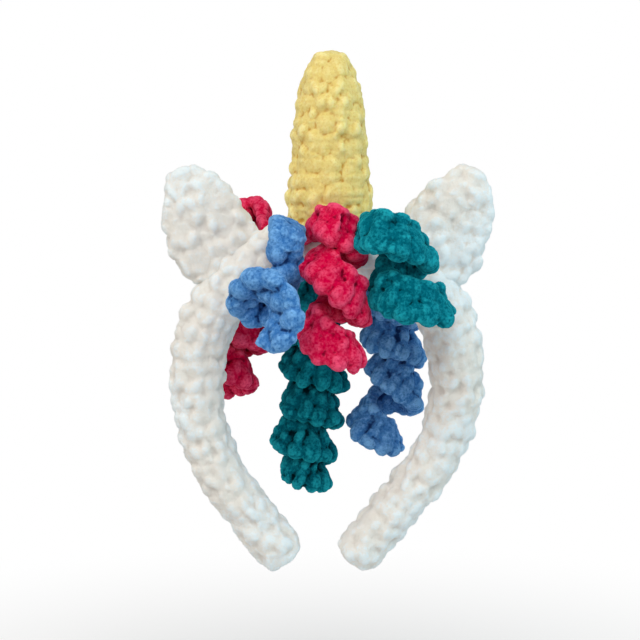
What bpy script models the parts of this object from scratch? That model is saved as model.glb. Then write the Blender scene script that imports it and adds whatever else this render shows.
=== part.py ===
"""Crocheted unicorn headband: a chenille sleeve over a hair band, a stuffed horn, two ears and six
corkscrew curls. Metres, +Z up, the wearer's face towards -Y, the origin where the crown of the
band sits on the head. Left and right are as seen from in front."""

import math
from dataclasses import dataclass

import bpy
from mathutils import Vector

MM = 0.001
RIGHT = Vector((1, 0, 0))
BACK = Vector((0, 1, 0))
UP = Vector((0, 0, 1))

# Hair band: a padded tube whose middle line is an arch on two legs that lean inwards
ARCH_RADIUS = 62.5 * MM
SIDE_STRAIGHT = 4.5 * MM
LEG_BEND_RADIUS = 84 * MM
LEG_BEND = math.radians(38.5)
LEG_LENGTH = 46.5 * MM
LEG_SWAY = 4 * MM
BAND_THICKNESS = 26 * MM
BAND_DEPTH = 31 * MM
BAND_END_ROUNDING = 8 * MM
BAND_END_ROUNDNESS = 0.9
BAND_ROW_HEIGHT = 10 * MM
BAND_STITCHES_ROUND = 8

# Relief of the crocheted rows: half the step from a stitch to the hollow beside it, and the share
# of a piece's own size below which it fades
STITCH_RELIEF = 0.7 * MM
RELIEF_FADE = 0.5

# Gap that keeps a sewn-on piece clear of the band
SEW_GAP = 0.45 * MM

# Horn: a stuffed blunt cone whose skirt reaches down into the crown's outline
HORN_HEIGHT = 76 * MM
HORN_DIAMETER = 41 * MM
HORN_SKIRT = 8 * MM
HORN_HEM_SHARE = 0.80
HORN_ACROSS = 1.2 * MM
HORN_ROW_HEIGHT = 9 * MM
HORN_STITCHES_ROUND = 10

# Ears: flat padded leaves that stand on the shoulders of the arch
EAR_ANGLE = math.radians(42)
EAR_LEAN = math.radians(24.5)
EAR_HEIGHT = 46 * MM
EAR_WIDTH = 41 * MM
EAR_DEPTH = 18 * MM
EAR_ROOT = 11 * MM
EAR_ROW_HEIGHT = 9 * MM
EAR_STITCHES_ROUND = 7

# Curls: one crocheted strip each, wound into a corkscrew with its lower edge flared outwards
STRIP_WIDTH = 19 * MM
STRIP_THICKNESS = 8.5 * MM
STRIP_FLARE = math.radians(27)
TURN_GAP = 0.8 * MM
CURL_STANDOFF = 3 * MM
ROOT_DEPTH = 4 * MM
RIBS_PER_TURN = 9
STRIP_SIDES = 8
STRIP_ROUNDNESS = 0.8
LEAD_TURNS = 0.25
END_TURNS = 0.1
RIB_RELIEF = 0.1
ROOT_SHARE = 0.55
FREE_END_SHARE = 0.35

# Share of the band's half length | thickness | depth, as shares of the named sizes
BAND_SECTIONS = (
    (0.00, 1.12, 1.00),
    (0.22, 1.06, 0.95),
    (0.46, 1.00, 0.88),
    (0.60, 0.90, 0.83),
    (0.80, 0.87, 0.79),
    (1.00, 0.84, 0.74),
)

# Share of the horn's height | share of its diameter
HORN_SECTIONS = (
    (0.00, 0.97),
    (0.08, 1.00),
    (0.22, 0.95),
    (0.35, 0.90),
    (0.52, 0.86),
    (0.66, 0.80),
    (0.77, 0.73),
    (0.86, 0.62),
    (0.93, 0.50),
    (0.98, 0.32),
    (1.00, 0.05),
)

# Share of the ear's height | share of its width | share of its depth
EAR_SECTIONS = (
    (0.00, 1.00, 1.00),
    (0.20, 0.99, 0.97),
    (0.38, 0.95, 0.94),
    (0.60, 0.83, 0.90),
    (0.75, 0.67, 0.82),
    (0.88, 0.48, 0.68),
    (0.96, 0.30, 0.50),
    (1.00, 0.08, 0.16),
)

WHITE = (0.82, 0.84, 0.83)
YELLOW = (0.80, 0.66, 0.25)
PINK = (0.62, 0.02, 0.09)
BLUE = (0.10, 0.24, 0.58)
GREEN = (0.005, 0.16, 0.20)


@dataclass
class Curl:
    """One curl. side is -1 in front of the band and 1 behind it. root_angle is its place on the
    arch, from the crown towards +X, and root_height how far up the band's face it is sewn. rise
    is the start of its axis above the band's middle line, reach the outer radius of the
    corkscrew, and widen the width of its strip as a share of STRIP_WIDTH. begins is where round
    the corkscrew the strip starts, from its front. Each row of axis is: turn | across, in
    reaches | outwards, in reaches | drop, in pitches | share of the reach | slant of the turn |
    tip towards the front | flare beyond the strip's own. Angles are in degrees."""

    name: str
    colour: tuple
    side: int
    root_angle: float
    root_height: float
    rise: float
    reach: float
    widen: float
    turns: float
    begins: float
    axis: tuple


CURLS = (
    Curl("curl_front_pink", PINK, -1, -7.5, 35, 15 * MM, 17 * MM, 1.0, 2.54, -95,
         ((0.00, 0.60, -0.10, -0.10, 0.84, 0, 0, 0), (0.26, 0.64, -0.10, 0.12, 0.86, -4, 0, 0),
          (0.76, 0.70, -0.02, 0.95, 0.95, -15, 0, 0), (1.26, 0.78, 0.12, 1.52, 1.06, -28, 0, 0),
          (2.26, 0.66, 0.05, 3.04, 1.00, -2, -12, 0), (2.60, 0.60, 0.00, 3.37, 0.95, 0, -12, 0))),
    Curl("curl_front_blue", BLUE, -1, -16, 45, 7 * MM, 17 * MM, 1.0, 1.49, -95,
         ((0.00, -0.04, -0.15, -0.10, 0.97, -90, 0, -5), (0.26, -0.12, -0.15, -0.05, 1.02, -90, 5, -2),
          (0.40, -0.21, -0.17, 0.52, 1.00, -90, 15, 1), (0.55, -0.45, -0.04, 1.17, 1.01, -90, 38, 7),
          (0.80, -0.69, 0.53, 1.46, 1.00, -90, 72, 17), (1.00, -0.61, 1.02, 1.49, 1.00, -90, 80, 19),
          (1.50, -0.58, 1.25, 1.80, 1.00, -90, 84, 21))),
    Curl("curl_front_green", GREEN, -1, 14, 30, 14 * MM, 19.5 * MM, 1.12, 1.54, -105,
         ((0.00, 0.56, 0.08, -0.02, 0.98, 4, 8, -6), (0.28, 0.58, 0.10, 0.22, 1.02, 4, 8, -6),
          (1.28, 1.28, 0.06, 1.66, 1.00, 8, -2, 0), (1.60, 1.36, 0.00, 2.02, 1.00, 8, -2, 0))),
    Curl("curl_back_pink", PINK, 1, -25.5, 50, 19.5 * MM, 17 * MM, 1.0, 4.50, 80,
         ((0.00, -0.56, 0.00, 0.00, 0.95, 0, 0, 0), (0.28, -0.62, 0.00, 0.16, 1.00, 0, 0, 0),
          (0.78, -0.66, 0.00, 1.10, 1.00, 0, 0, 0), (2.00, -0.80, 0.00, 2.34, 1.00, 0, 0, 0),
          (3.78, -1.22, 0.00, 4.22, 0.98, 0, 0, 0), (4.28, -1.60, 0.00, 4.85, 0.92, 0, 0, 0),
          (4.60, -1.80, 0.00, 5.15, 0.88, 0, 0, 0))),
    Curl("curl_back_green", GREEN, 1, 6, 0, 7 * MM, 17.5 * MM, 1.0, 7.04, 80,
         ((0.00, -0.60, 0.00, 0.00, 0.90, 0, 0, 0), (0.78, -0.60, 0.00, 0.95, 1.00, 0, 0, 0),
          (3.78, -0.73, 0.00, 3.92, 1.00, 0, 0, 0), (4.78, -0.80, 0.00, 4.92, 0.98, 0, 0, 0),
          (5.78, -1.02, 0.00, 5.90, 0.96, 0, 0, 0), (6.78, -0.92, 0.00, 6.80, 0.80, 0, 0, 0),
          (7.10, -0.90, 0.00, 7.04, 0.76, 0, 0, 0))),
    Curl("curl_back_blue", BLUE, 1, 41, 0, 1 * MM, 16 * MM, 1.0, 4.04, 80,
         ((0.00, -0.56, 0.00, 0.00, 0.90, 0, 0, 0), (0.78, -0.55, 0.00, 1.00, 1.00, 0, 0, 0),
          (1.78, -0.52, 0.00, 1.98, 1.02, 0, 0, 0), (2.78, -0.30, 0.00, 3.06, 1.02, -22, 0, 0),
          (3.78, -0.98, 0.00, 4.50, 1.05, -6, 0, 0), (4.10, -1.03, 0.00, 4.85, 1.00, -6, 0, 0))),
)


def clear_scene():
    """Empties the scene of what the file opened with."""
    for obj in list(bpy.data.objects):
        bpy.data.objects.remove(obj)


def read_table(table, key):
    """The table's other columns at a value of its first one, on a smooth curve through the rows."""
    keys = [row[0] for row in table]
    last = len(table) - 1
    key = min(max(key, keys[0]), keys[last])
    low = max(i for i in range(last) if keys[i] <= key)
    high = low + 1
    span = keys[high] - keys[low]
    share = (key - keys[low]) / span

    def slope(row, column):
        before, after = max(row - 1, 0), min(row + 1, last)
        return (table[after][column] - table[before][column]) / (keys[after] - keys[before])

    values = []
    for column in range(1, len(table[0])):
        start, end = table[low][column], table[high][column]
        values.append(
            start * (1 + 2 * share) * (1 - share) ** 2
            + slope(low, column) * span * share * (1 - share) ** 2
            + end * share * share * (3 - 2 * share)
            - slope(high, column) * span * share * share * (1 - share)
        )
    return values


def yarn(name, colour):
    """The material of one colour of chenille yarn."""
    made = bpy.data.materials.get(name) or bpy.data.materials.new(name)
    made.use_nodes = True
    shader = made.node_tree.nodes["Principled BSDF"]
    shader.inputs["Base Color"].default_value = (*colour, 1)
    shader.inputs["Roughness"].default_value = 0.95
    shader.inputs["Metallic"].default_value = 0.0
    return made


def loft(name, rings, colour):
    """A closed solid through rings of equal count, with a fan round the middle at each end. The
    diagonals run from hollow to hollow, which leaves each stitch standing as a bump."""
    sides = len(rings[0])
    points = [point for ring in rings for point in ring]
    faces = []
    for row in range(len(rings) - 1):
        for side in range(sides):
            after = (side + 1) % sides
            low, high = row * sides, (row + 1) * sides
            corners = (low + side, low + after, high + after, high + side)
            first = 1 if stitch_wave(row, side) > 0 else 0
            faces.append([corners[(first + i) % 4] for i in (0, 1, 2)])
            faces.append([corners[(first + i) % 4] for i in (0, 2, 3)])
    for ring, first in ((rings[0], 0), (rings[-1], (len(rings) - 1) * sides)):
        middle = len(points)
        points.append(sum(ring, Vector()) / sides)
        for side in range(sides):
            after = (side + 1) % sides
            edge = (first + after, first + side) if first == 0 else (first + side, first + after)
            faces.append((*edge, middle))
    mesh = bpy.data.meshes.new(name)
    mesh.from_pydata(points, [], faces)
    mesh.shade_smooth()
    mesh.materials.append(yarn("yarn_" + name, colour))
    obj = bpy.data.objects.new(name, mesh)
    bpy.context.scene.collection.objects.link(obj)
    return obj


def cut_clear(obj, cutter):
    """Cuts a sewn-on piece to the surface that it sits on."""
    cut = obj.modifiers.new("seat", "BOOLEAN")
    cut.operation = "DIFFERENCE"
    cut.object = cutter
    cut.solver = "EXACT"


def stitch_wave(row, column):
    """1 on a stitch and -1 in the hollow beside it; each row is half a stitch round from the last."""
    return 1 if (row + column) % 2 == 0 else -1


def stitch_relief(size, full_size):
    """Height of the relief where a piece has narrowed from its full size to this one."""
    return STITCH_RELIEF * min(1.0, size / (full_size * RELIEF_FADE))


# Band

CROWN_THICKNESS = BAND_THICKNESS * BAND_SECTIONS[0][1]
ARCH_CENTRE = UP * (CROWN_THICKNESS / 2 - ARCH_RADIUS)
BAND_RUNS = (
    (ARCH_RADIUS * math.pi / 2, ARCH_RADIUS),
    (SIDE_STRAIGHT, None),
    (LEG_BEND_RADIUS * LEG_BEND, LEG_BEND_RADIUS),
    (LEG_LENGTH, None),
)
BAND_HALF_LENGTH = sum(length for length, _ in BAND_RUNS)


def upright_path(distance):
    """Middle line of one side of the band, as (across, up), before the legs sway."""
    across, up, heading = 0.0, ARCH_CENTRE.z + ARCH_RADIUS, 0.0
    for length, radius in BAND_RUNS:
        run = min(distance, length)
        distance -= run
        turned = heading + (run / radius if radius else 0.0)
        if radius:
            across += radius * (math.sin(turned) - math.sin(heading))
            up += radius * (math.cos(turned) - math.cos(heading))
        else:
            across += run * math.cos(heading)
            up -= run * math.sin(heading)
        heading = turned
    return across, up


def band_point(distance):
    """A point of the band's middle line; distance runs from the crown towards +X."""
    across, up = upright_path(abs(distance))
    lowest = upright_path(BAND_HALF_LENGTH)[1]
    share = max(0.0, (ARCH_CENTRE.z - up) / (ARCH_CENTRE.z - lowest))
    return RIGHT * (math.copysign(across, distance) - LEG_SWAY * share) + UP * up


def band_frame(distance):
    """(middle, outward direction) of the band's cross-section at a distance from the crown."""
    step = 0.5 * MM
    along = (band_point(distance + step) - band_point(distance - step)).normalized()
    return band_point(distance), BACK.cross(-along).normalized()


def band_halves(distance):
    """Half the band's thickness and half its depth at a distance from the crown."""
    thickness, depth = read_table(BAND_SECTIONS, abs(distance) / BAND_HALF_LENGTH)
    from_end = BAND_HALF_LENGTH - abs(distance)
    short = max(0.0, 1 - from_end / BAND_END_ROUNDING)
    rounding = math.sqrt(1 - (BAND_END_ROUNDNESS * short) ** 2)
    return BAND_THICKNESS * thickness / 2 * rounding, BAND_DEPTH * depth / 2 * rounding


def band_rings(grow=0.0):
    """Rings of the band from its -X end to its +X end, grown outwards by a clearance all round its
    middle line."""
    rows = 2 * round(BAND_HALF_LENGTH / BAND_ROW_HEIGHT)
    columns = 2 * BAND_STITCHES_ROUND
    stops = [BAND_HALF_LENGTH * row / rows for row in range(-rows, rows + 1)]
    near_end = BAND_HALF_LENGTH - BAND_END_ROUNDING / 4
    stops[1:1] = [-near_end]
    stops[-1:-1] = [near_end]
    rings = []
    for row, distance in enumerate(stops):
        middle, out = band_frame(distance)
        thick, deep = band_halves(distance)
        ring = []
        for column in range(columns):
            angle = 2 * math.pi * column / columns
            bump = STITCH_RELIEF * stitch_wave(row, column) + grow
            ring.append(
                middle
                + out * (thick + bump) * math.cos(angle)
                - BACK * (deep + bump) * math.sin(angle)
            )
        rings.append(ring)
    return rings


# Horn


def horn_rings(grow=0.0):
    """Rings of the horn from the hem of its skirt, inside the crown's outline, to its tip, grown
    outwards by a clearance."""
    foot = RIGHT * HORN_ACROSS + UP * CROWN_THICKNESS
    rows = 2 * round(HORN_HEIGHT / HORN_ROW_HEIGHT)
    columns = 2 * HORN_STITCHES_ROUND
    fullest = max(wide for _, wide in HORN_SECTIONS)
    stops = [(-HORN_SKIRT - grow, HORN_HEM_SHARE), (-HORN_SKIRT / 2, (HORN_HEM_SHARE + fullest) / 2)]
    for row in range(rows + 1):
        share = row / rows
        stops.append((HORN_HEIGHT * share, read_table(HORN_SECTIONS, share)[0]))
    rings = []
    for row, (height, wide) in enumerate(stops):
        radius = HORN_DIAMETER * wide / 2
        relief = stitch_relief(2 * radius, HORN_DIAMETER)
        ring = []
        for column in range(columns):
            angle = 2 * math.pi * column / columns
            reach = radius + relief * stitch_wave(row, column) + grow
            ring.append(foot + UP * height + (RIGHT * math.cos(angle) + BACK * math.sin(angle)) * reach)
        rings.append(ring)
    return rings


# Ears


def ear_rings(side):
    """Rings of one ear from its root inside the band to its tip; side is -1 or 1 along X."""
    middle, out = band_frame(side * EAR_ANGLE * ARCH_RADIUS)
    thick = band_halves(side * EAR_ANGLE * ARCH_RADIUS)[0]
    foot = middle + out * thick
    rise = RIGHT * side * math.sin(EAR_LEAN) + UP * math.cos(EAR_LEAN)
    wide = BACK.cross(rise)
    rows = 2 * round(EAR_HEIGHT / EAR_ROW_HEIGHT)
    columns = 2 * EAR_STITCHES_ROUND
    stops = [(-EAR_ROOT, 1.0, 1.0)]
    for row in range(rows + 1):
        share = row / rows
        stops.append((EAR_HEIGHT * share, *read_table(EAR_SECTIONS, share)))
    rings = []
    for row, (height, width, depth) in enumerate(stops):
        half_width, half_depth = EAR_WIDTH * width / 2, EAR_DEPTH * depth / 2
        relief = stitch_relief(2 * half_depth, EAR_DEPTH)
        ring = []
        for column in range(columns):
            angle = 2 * math.pi * column / columns
            bump = relief * stitch_wave(row, column)
            ring.append(
                foot
                + rise * height
                + wide * (half_width + bump) * math.cos(angle)
                - BACK * (half_depth + bump) * math.sin(angle)
            )
        rings.append(ring)
    return rings


# Curls


def strip_core(widen):
    """Distance between the rounded edges of a strip, from the middle of one to the other's."""
    return STRIP_WIDTH * widen - STRIP_THICKNESS


def tight_pitch(widen):
    """Drop of one turn that leaves TURN_GAP between the flared strips of neighbouring turns."""
    core = strip_core(widen)
    clear = STRIP_THICKNESS * (1 + RIB_RELIEF) + TURN_GAP
    sideways = core * math.sin(STRIP_FLARE)
    return core * math.cos(STRIP_FLARE) + math.sqrt(clear * clear - sideways * sideways)


def coil_radius(reach, flare, widen):
    """Radius of the strip's middle line in a corkscrew of this outer radius."""
    return reach - (strip_core(widen) * math.sin(flare) + STRIP_THICKNESS) / 2


def curl_seat(curl):
    """(middle of the band, outward direction, half thickness, half depth) where a curl is sewn."""
    distance = math.radians(curl.root_angle) * ARCH_RADIUS
    return *band_frame(distance), *band_halves(distance)


def curl_axis(curl, turn):
    """The line that the curl winds round: a point of it, and the turn's radius, forward and
    onward directions and flare there."""
    across, out, drop, share, slant, tip, flare = read_table(curl.axis, turn)
    centre = curl_seat(curl)[0] + UP * (curl.rise - drop * tight_pitch(curl.widen))
    centre += BACK * curl.side * (BAND_DEPTH / 2 + CURL_STANDOFF + curl.reach * (1 + out))
    centre += RIGHT * across * curl.reach
    slant, tip, flare = math.radians(slant), math.radians(tip), STRIP_FLARE + math.radians(flare)
    down = RIGHT * math.sin(slant) - UP * math.cos(slant)
    front = -BACK * math.cos(tip) - down * math.sin(tip)
    onward = RIGHT * math.cos(slant) + UP * math.sin(slant)
    return centre, coil_radius(curl.reach * share, flare, curl.widen), front, onward, flare


def curl_root(curl):
    """The point inside the band's face that the curl grows from."""
    middle, out, thick, deep = curl_seat(curl)
    height = math.radians(curl.root_height)
    inwards = BACK * curl.side * (deep - ROOT_DEPTH) * math.cos(height)
    return middle + inwards + out * (thick - ROOT_DEPTH) * math.sin(height)


def curl_path(curl):
    """(point, outward direction, turn, flare) at each section of the strip."""
    count = round(2 * RIBS_PER_TURN * curl.turns)
    root = curl_root(curl)
    path = []
    for index in range(count + 1):
        turn = curl.turns * index / count
        centre, radius, front, onward, flare = curl_axis(curl, turn)
        angle = math.radians(curl.begins + 360 * turn)
        outward = front * math.cos(angle) + onward * math.sin(angle)
        share = min(1.0, turn / LEAD_TURNS)
        blend = share * share * (3 - 2 * share)
        path.append((root.lerp(centre + outward * radius, blend), outward, turn, flare))
    return path


def curl_rings(curl, grow=0.0):
    """Rings of one curl from its root in the band to its free end, grown outwards by a
    clearance."""
    path = curl_path(curl)
    last = len(path) - 1
    width = STRIP_WIDTH * curl.widen
    rings = []
    for index, (point, outward, turn, flare) in enumerate(path):
        ahead = path[min(index + 1, last)][0] - path[max(index - 1, 0)][0]
        ahead.normalize()
        outward = (outward - ahead * outward.dot(ahead)).normalized()
        edge = ahead.cross(outward)
        wide = edge * math.cos(flare) + outward * math.sin(flare)
        flat = outward * math.cos(flare) - edge * math.sin(flare)
        to_end = min(1.0, max(0.0, curl.turns - turn) / END_TURNS)
        to_root = min(1.0, turn / LEAD_TURNS)
        size = FREE_END_SHARE + (1 - FREE_END_SHARE) * math.sqrt(to_end * (2 - to_end))
        size *= ROOT_SHARE + (1 - ROOT_SHARE) * to_root
        rib = 1 + RIB_RELIEF * (1 if index % 2 else -1)
        ring = []
        for side in range(STRIP_SIDES):
            angle = 2 * math.pi * side / STRIP_SIDES
            across = math.copysign(abs(math.cos(angle)) ** STRIP_ROUNDNESS, math.cos(angle))
            through = -math.copysign(abs(math.sin(angle)) ** STRIP_ROUNDNESS, math.sin(angle))
            ring.append(
                point
                + wide * across * (width / 2 * size * (rib if across > 0 else 1) + grow)
                + flat * through * (STRIP_THICKNESS / 2 * size * rib + grow)
            )
        rings.append(ring)
    return rings


def clearance(name, rings):
    """A hidden body that keeps what is sewn on clear of what it is sewn to."""
    body = loft(name, rings, WHITE)
    body.hide_render = True
    body.display_type = "WIRE"
    return body


def build():
    """Makes every piece of the headband, each cut to the surface of what carries it."""
    clear_scene()
    loft("band", band_rings(), WHITE)
    band_clearance = clearance("band_clearance", band_rings(SEW_GAP))
    horn_clearance = clearance("horn_clearance", horn_rings(SEW_GAP))
    cut_clear(loft("horn", horn_rings(), YELLOW), band_clearance)
    for name, side in (("ear_left", -1), ("ear_right", 1)):
        cut_clear(loft(name, ear_rings(side), WHITE), band_clearance)
    pressing = {-1: [band_clearance, horn_clearance], 1: [band_clearance, horn_clearance]}
    for curl in CURLS:
        piece = loft(curl.name, curl_rings(curl), curl.colour)
        for carrier in pressing[curl.side]:
            cut_clear(piece, carrier)
        grown = clearance(curl.name + "_clearance", curl_rings(curl, SEW_GAP))
        pressing[curl.side].append(grown)


build()
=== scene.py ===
"""Looks of the crocheted unicorn headband.

Thick chenille yarn is worked in rounds over the band, the horn and the ears, and in a flared
strip along each curl. Each kind of stitch is modelled once, and copies of it are laid over each
form, knitted into one soft skin and dressed in that yarn's colour. Metres, in the frame of the
CAD part.
"""

import logging
import math
import random
from dataclasses import dataclass, field
from enum import Enum
from typing import Iterator

import bpy
import numpy as np
from mathutils import Matrix, Vector


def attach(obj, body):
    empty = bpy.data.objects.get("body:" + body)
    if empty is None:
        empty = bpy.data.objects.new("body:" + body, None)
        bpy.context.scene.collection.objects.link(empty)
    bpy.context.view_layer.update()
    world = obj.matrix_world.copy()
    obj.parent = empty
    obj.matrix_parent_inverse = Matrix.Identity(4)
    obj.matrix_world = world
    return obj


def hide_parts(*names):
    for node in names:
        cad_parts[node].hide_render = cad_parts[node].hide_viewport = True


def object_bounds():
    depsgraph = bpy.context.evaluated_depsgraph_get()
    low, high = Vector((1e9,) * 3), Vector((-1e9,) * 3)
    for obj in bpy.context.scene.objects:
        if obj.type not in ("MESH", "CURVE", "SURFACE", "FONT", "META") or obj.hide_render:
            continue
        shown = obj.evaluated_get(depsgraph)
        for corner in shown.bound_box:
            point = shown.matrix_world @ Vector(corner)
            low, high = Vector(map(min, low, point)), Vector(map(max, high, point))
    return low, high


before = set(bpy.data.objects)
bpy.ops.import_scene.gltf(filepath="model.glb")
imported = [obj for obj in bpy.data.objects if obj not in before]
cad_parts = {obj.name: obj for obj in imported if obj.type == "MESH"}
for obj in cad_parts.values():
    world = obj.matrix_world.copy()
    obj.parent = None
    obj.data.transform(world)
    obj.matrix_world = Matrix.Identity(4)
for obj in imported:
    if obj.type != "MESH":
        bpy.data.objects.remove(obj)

CAD_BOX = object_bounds()

MM = 0.001
RIGHT = Vector((1, 0, 0))
BACK = Vector((0, 1, 0))
UP = Vector((0, 0, 1))

Colour = tuple[float, float, float]
Span = tuple[float, float]
Table = tuple[tuple[float, ...], ...]

log = logging.getLogger("headband")


def read_table(table: Table, key: float) -> list[float]:
    """Reads a table of sections on a smooth curve through its rows.

    Args:
        table: Rows whose first column grows from row to row.
        key: The value of the first column to read at.

    Returns:
        The other columns there.
    """
    keys = [row[0] for row in table]
    last = len(table) - 1
    key = min(max(key, keys[0]), keys[last])
    low = max(i for i in range(last) if keys[i] <= key)
    high = low + 1
    span = keys[high] - keys[low]
    share = (key - keys[low]) / span

    def slope(row: int, column: int) -> float:
        """Slope of a column at a row, from the rows beside it."""
        before, after = max(row - 1, 0), min(row + 1, last)
        return (table[after][column] - table[before][column]) / (keys[after] - keys[before])

    values = []
    for column in range(1, len(table[0])):
        start, end = table[low][column], table[high][column]
        values.append(
            start * (1 + 2 * share) * (1 - share) ** 2
            + slope(low, column) * span * share * (1 - share) ** 2
            + end * share * share * (3 - 2 * share)
            - slope(high, column) * span * share * share * (1 - share)
        )
    return values


def axes_at(place: Vector, wide: Vector, tall: Vector, deep: Vector) -> Matrix:
    """A transform whose columns are a place and its three scaled axes.

    Args:
        place: Where it moves the origin.
        wide: Where it turns X.
        tall: Where it turns Y.
        deep: Where it turns Z.

    Returns:
        The transform.
    """
    turned = Matrix((wide, tall, deep)).transposed().to_4x4()
    turned.translation = place
    return turned


def deselect_all() -> None:
    """Leaves nothing selected, in object mode."""
    if bpy.context.object and bpy.context.object.mode != "OBJECT":
        bpy.ops.object.mode_set(mode="OBJECT")
    bpy.ops.object.select_all(action="DESELECT")


# Yarns

# How high each point of a skin stands over its neighbours: the yarns paint shade into the hollows
# and a highlight onto the crowns from it
RELIEF = "stitch_relief"
NOISE_ROUGHNESS = 0.6
ALL: Span = (0.0, 1.0)

Socket = bpy.types.NodeSocket
Input = Socket | Colour | float


class Nodes:
    """Adds shader nodes to one material or world, and links them."""

    def __init__(self, owner: bpy.types.Material | bpy.types.World) -> None:
        """Turns on the nodes of a material or a world."""
        owner.use_nodes = True
        self.tree = owner.node_tree

    def feed(self, node: bpy.types.Node, values: dict[str | int, Input]) -> bpy.types.Node:
        """Sets a node's inputs, and links those whose value is another node's output.

        Args:
            node: The node.
            values: What each input gets, by the input's name or number.

        Returns:
            The same node.
        """
        for name, value in values.items():
            socket = node.inputs[name]
            if isinstance(value, Socket):
                self.tree.links.new(value, socket)
            elif socket.type == "RGBA":
                socket.default_value = (*value, 1)
            else:
                socket.default_value = value
        return node

    def add(self, kind: str, values: dict[str | int, Input]) -> bpy.types.Node:
        """Adds a shader node of a kind, with what its inputs get."""
        return self.feed(self.tree.nodes.new("ShaderNode" + kind), values)

    def place(self) -> Socket:
        """Where on the object the surface is."""
        return self.add("TexCoord", {}).outputs["Object"]

    def attribute(self, name: str) -> Socket:
        """A number that is kept on the mesh.

        Args:
            name: The attribute's name.

        Returns:
            Its value at the shaded point.
        """
        node = self.add("Attribute", {})
        node.attribute_name = name
        return node.outputs["Fac"]

    def noise(self, place: Socket, size: float, detail: float) -> Socket:
        """A noise whose lumps have a given size in metres."""
        values = {"Scale": 1 / size, "Detail": detail, "Roughness": NOISE_ROUGHNESS}
        return self.add("TexNoise", {"Vector": place, **values}).outputs["Fac"]

    def ramp(self, value: Socket, source: Span, target: Span) -> Socket:
        """A value moved smoothly from one range to another, and held at its ends.

        Args:
            value: The value.
            source: The range that it comes from.
            target: The range that it goes to.

        Returns:
            The moved value.
        """
        ends = dict(zip(("From Min", "From Max", "To Min", "To Max"), (*source, *target)))
        node = self.add("MapRange", {"Value": value, **ends})
        node.interpolation_type = "SMOOTHSTEP"
        return node.outputs["Result"]

    def join(self, operation: str, first: Socket, second: Socket) -> Socket:
        """Two values put together and kept between 0 and 1.

        Args:
            operation: How they are put together.
            first: One value.
            second: The other.

        Returns:
            The result.
        """
        node = self.add("Math", {0: first, 1: second})
        node.operation = operation
        node.use_clamp = True
        return node.outputs[0]

    def blend(self, share: Socket, first: Input, second: Input) -> Socket:
        """Two colours mixed by a share.

        Args:
            share: From 0, the first colour alone, to 1, the second alone.
            first: One colour.
            second: The other.

        Returns:
            The mixed colour.
        """
        node = self.add("Mix", {"Factor": share})
        node.data_type = "RGBA"
        colours = [number for number, socket in enumerate(node.inputs) if socket.type == "RGBA"]
        self.feed(node, dict(zip(colours, (first, second))))
        return next(socket for socket in node.outputs if socket.type == "RGBA")


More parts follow.
